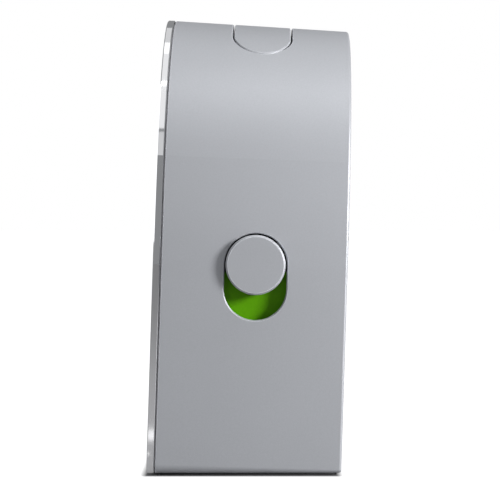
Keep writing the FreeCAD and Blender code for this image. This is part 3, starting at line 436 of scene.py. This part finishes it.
GLASS_BLACK = (0.004, 0.004, 0.005)
LENS_BLACK = (0.012, 0.012, 0.013)
SENSOR_BLUE = (0.01, 0.012, 0.03)
LED_CLEAR = (0.35, 0.36, 0.42)
DIFFUSER_WHITE = (0.80, 0.84, 0.86)

MASK_GREEN = (0.006, 0.045, 0.02)
MASK_BLACK = (0.012, 0.012, 0.014)
PADS_BLACK = (0.02, 0.02, 0.02)

# How far up behind the knob the slider well stays green, and half the height of its change to the black
# painted shade.
GREEN_RISE = 6.0 * MM
GREEN_FADE = 0.4 * MM
GREEN_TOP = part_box("switch_knob")[0].z + GREEN_RISE

paint(satin_metal("satin_silver", SILVER), "housing", "top_button", "battery_door")
# The knob's silver has a wider painted highlight along its rim.
paint(satin_metal("silver_rim_highlight", SILVER, highlight_radius=0.35 * MM), "switch_knob")
paint(brushed_metal("brushed_steel", STEEL), "front_plate", "call_button")
paint(green_well_and_shade("slider_well", SLIDER_GREEN, SLIDER_SHADE_BLACK, GREEN_TOP, GREEN_FADE), "switch_well")
paint(rubber("black_rubber", RUBBER_BLACK), "base_pad", "microphone_boot", "call_plunger")
paint(rubber("grey_silicone", SILICONE_GREY), "plate_seal")
paint(dark_glass("window_glass_black", GLASS_BLACK, solid=0.25), "window_glass")
paint(dark_glass("motion_lens_black", LENS_BLACK), "motion_lens")
paint(lens_glass("coated_lens"), "camera_lens")
paint(dark_glass("sensor_glass", SENSOR_BLUE), "image_sensor", "light_sensor")
paint(milky_plastic("led_epoxy", LED_CLEAR), "ir_leds")
paint(milky_plastic("ring_diffuser", DIFFUSER_WHITE, glow=0.25), "call_light_ring")
paint(moulded_plastic("black_plastic", PLASTIC_BLACK),
      "front_frame", "camera_barrel", "speaker_frame", "switch_carriage")
paint(moulded_plastic("grey_plastic", PLASTIC_GREY), "battery_tray")
paint(moulded_plastic("terminal_plastic", TERMINAL_GREY, roughness=0.42), "terminal_block")
paint(moulded_plastic("reset_plastic", RESET_GREY, roughness=0.4), "reset_button")
paint(moulded_plastic("chip_epoxy", CHIP_BLACK, roughness=0.6), "board_chips")
paint(moulded_plastic("switch_body", SWITCH_GREY, roughness=0.45),
      "call_switch", "top_switch", "reset_switch")
paint(plated_metal("dark_chrome", CHROME, roughness=0.18), "lens_ring")
paint(plated_metal("zinc", ZINC, roughness=0.32),
      "frame_screws", "board_screws", "slide_switch")
paint(plated_metal("tin_plate", TIN, roughness=0.25),
      "shield_cans", "microphone", "motion_sensor")
paint(plated_metal("nickel", NICKEL, roughness=0.2),
      "tray_magnets", "door_magnets", "speaker_magnet", "hinge_pin")
paint(plated_metal("brass", BRASS, roughness=0.28), "wall_inserts", "terminal_screws")
paint(plated_metal("gold", GOLD, roughness=0.2), "battery_contacts")
paint(plated_metal("copper_foil", COPPER, roughness=0.3), "antenna")
paint(circuit_board("green_board", MASK_GREEN, SOLDER),
      "main_board", "front_board", "camera_board", "switch_board", "reset_board", "microphone_board")
paint(circuit_board("black_board", MASK_BLACK, PADS_BLACK), "led_board")
paint(ribbon("amber_ribbon"), "camera_flex", "front_flex")
paint(woven_mesh("acoustic_cloth"), "acoustic_mesh")
paint(speaker_paper("speaker_fibre"), "speaker_cone")
paint(shrink_wrap("battery_sleeve", SLEEVE_BLUE), "battery_pack")


# ---------------------------------------------------------------- studio

MIDDLE = (cad_box[0] + cad_box[1]) / 2
WHITE = (1.0, 1.0, 1.0, 1.0)

# The surround that lights and reflects: dimmer and cooler than the white that the camera sees.
SKY_COLOUR = (0.96, 0.98, 1.0, 1.0)
SKY_STRENGTH = 0.275

# Half the floor's side in metres, its colour, and its faint glow for light and reflections.
FLOOR_HALF = 4.0
FLOOR_GREY = (0.18, 0.18, 0.185, 1.0)
FLOOR_BOUNCE = 0.17

# Painted contact shadow: the camera sees the floor's own grey under the foot, then white from the shade's
# width outside it.
# The foot starts this far inside the case's sides.
SHADE_WIDTH = 2.0 * MM
FOOT_INSET = 1.0 * MM
FOOT_HALF_WIDTH = -cad_box[0].x - FOOT_INSET
FOOT_LOW = Vector((-FOOT_HALF_WIDTH, cad_box[0].y, 0.0))
FOOT_HIGH = Vector((FOOT_HALF_WIDTH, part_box("base_pad")[1].y, 0.0))

# Name, degrees round from +X and up from the floor, distance and width in metres, and watts.
LIGHTS = (
    ("overhead", 0, 78, 0.75, 1.10, 2.45),
    ("high_key", 30, 68, 0.80, 0.30, 0.75),
    ("rim_card", -2, 32, 0.80, 0.21, 0.055),
    ("side_key", 56, 14, 0.50, 0.12, 3.4),
    ("fill_left", 180, 60, 0.90, 0.60, 0.5),
    ("fill_low", -135, 5, 0.80, 0.40, 2.0),
    ("fill_front", -95, 20, 0.80, 0.50, 0.9),
)

# Small lights that face up from the floor, for the polished rim to mirror near the foot.
# Name, distance out along X, width and watts.
FLOOR_CARDS = (
    ("wide_card", 145 * MM, 28 * MM, 0.0019),
    ("thin_card", 96 * MM, 5 * MM, 0.0001),
)
# Their place in front of the case, their height, and the height of the point that they face.
CARD_FRONT = cad_box[0].y - 4 * MM
CARD_LIFT = 1 * MM
CARD_AIM = 20 * MM

# Metres and degrees; the lens and the sensor's width in millimetres, and the shift in image widths.
CAMERA_PLACE = (0.624, 0.00196, 0.0772)
CAMERA_TURN = (90, 0, 90)
CAMERA_LENS = 148.6
CAMERA_SENSOR = 36.0
CAMERA_SHIFT = (-0.0164, -0.106)
CAMERA_NEAR = 10 * MM


def make_world():
    """White surround for the camera, and a dimmer one for light and reflections."""
    world = bpy.data.worlds.new("studio")
    bpy.context.scene.world = world
    world.use_nodes = True
    tree = world.node_tree
    tree.nodes.clear()
    path = tree.nodes.new("ShaderNodeLightPath")
    choice = tree.nodes.new("ShaderNodeMixShader")
    output = tree.nodes.new("ShaderNodeOutputWorld")
    tree.links.new(path.outputs["Is Camera Ray"], choice.inputs["Fac"])
    tree.links.new(choice.outputs["Shader"], output.inputs["Surface"])
    lit_input, seen_input = choice.inputs[1:]
    for socket, colour, strength in ((lit_input, SKY_COLOUR, SKY_STRENGTH), (seen_input, WHITE, 1.0)):
        background = tree.nodes.new("ShaderNodeBackground")
        background.inputs["Color"].default_value = colour
        background.inputs["Strength"].default_value = strength
        tree.links.new(background.outputs["Background"], socket)


def make_floor():
    """Grey floor that glows white for the camera, except for a painted contact shadow under the object's
    foot and close round it.
    """
    mesh = bpy.data.meshes.new("floor")
    corners = [(-FLOOR_HALF, -FLOOR_HALF, 0), (FLOOR_HALF, -FLOOR_HALF, 0),
               (FLOOR_HALF, FLOOR_HALF, 0), (-FLOOR_HALF, FLOOR_HALF, 0)]
    mesh.from_pydata(corners, [], [(0, 1, 2, 3)])
    floor = bpy.data.objects.new("floor", mesh)
    bpy.context.scene.collection.objects.link(floor)
    graph = Graph("floor_white")
    distance = graph.beyond_box((FOOT_LOW + FOOT_HIGH) / 2, (FOOT_HIGH - FOOT_LOW) / 2)
    # Painted contact shadow: the camera's glow is off under the foot and rises to full over the shade's
    # width.
    seen_glow = graph.spread(distance, start=0.0, end=SHADE_WIDTH)
    camera_ray = graph.add("ShaderNodeLightPath").outputs["Is Camera Ray"]
    graph.drive(Emission_Strength=graph.mix(camera_ray, FLOOR_BOUNCE, seen_glow, kind="FLOAT"))
    graph.set(Base_Color=FLOOR_GREY, Roughness=0.9, Specular_IOR_Level=0.1, Emission_Color=WHITE)
    mesh.materials.append(graph.material)


def area_light(name, azimuth, elevation, distance, aim, size, power):
    """Square soft light that faces a point, hidden from the camera, with its angles in degrees."""
    light = bpy.data.lights.new(name, "AREA")
    light.size = size
    light.energy = power
    lamp = bpy.data.objects.new(name, light)
    around = math.radians(azimuth)
    up = math.radians(elevation)
    direction = Vector((math.cos(up) * math.cos(around), math.cos(up) * math.sin(around), math.sin(up)))
    lamp.location = aim + distance * direction
    lamp.rotation_euler = (aim - lamp.location).to_track_quat("-Z", "Y").to_euler()
    lamp.visible_camera = False
    bpy.context.scene.collection.objects.link(lamp)


def make_lights():
    """Soft lights round the object's middle, and the cards on the floor beside it."""
    for name, azimuth, elevation, distance, size, power in LIGHTS:
        area_light(name, azimuth, elevation, distance, MIDDLE, size, power)
    straight_below = -90
    for name, out, size, power in FLOOR_CARDS:
        above_card = Vector((out, CARD_FRONT, CARD_AIM))
        area_light(name, 0, straight_below, CARD_AIM - CARD_LIFT, above_card, size, power)


def make_camera():
    """Long lens square to the side wall, level, a little above half the object's height."""
    data = bpy.data.cameras.new("camera")
    data.sensor_width = CAMERA_SENSOR
    data.lens = CAMERA_LENS
    data.shift_x, data.shift_y = CAMERA_SHIFT
    data.clip_start = CAMERA_NEAR
    camera = bpy.data.objects.new("camera", data)
    camera.location = CAMERA_PLACE
    camera.rotation_euler = [math.radians(angle) for angle in CAMERA_TURN]
    bpy.context.scene.collection.objects.link(camera)
    bpy.context.scene.camera = camera


make_world()
make_floor()
make_lights()
make_camera()
bpy.context.scene.view_settings.view_transform = "Standard"
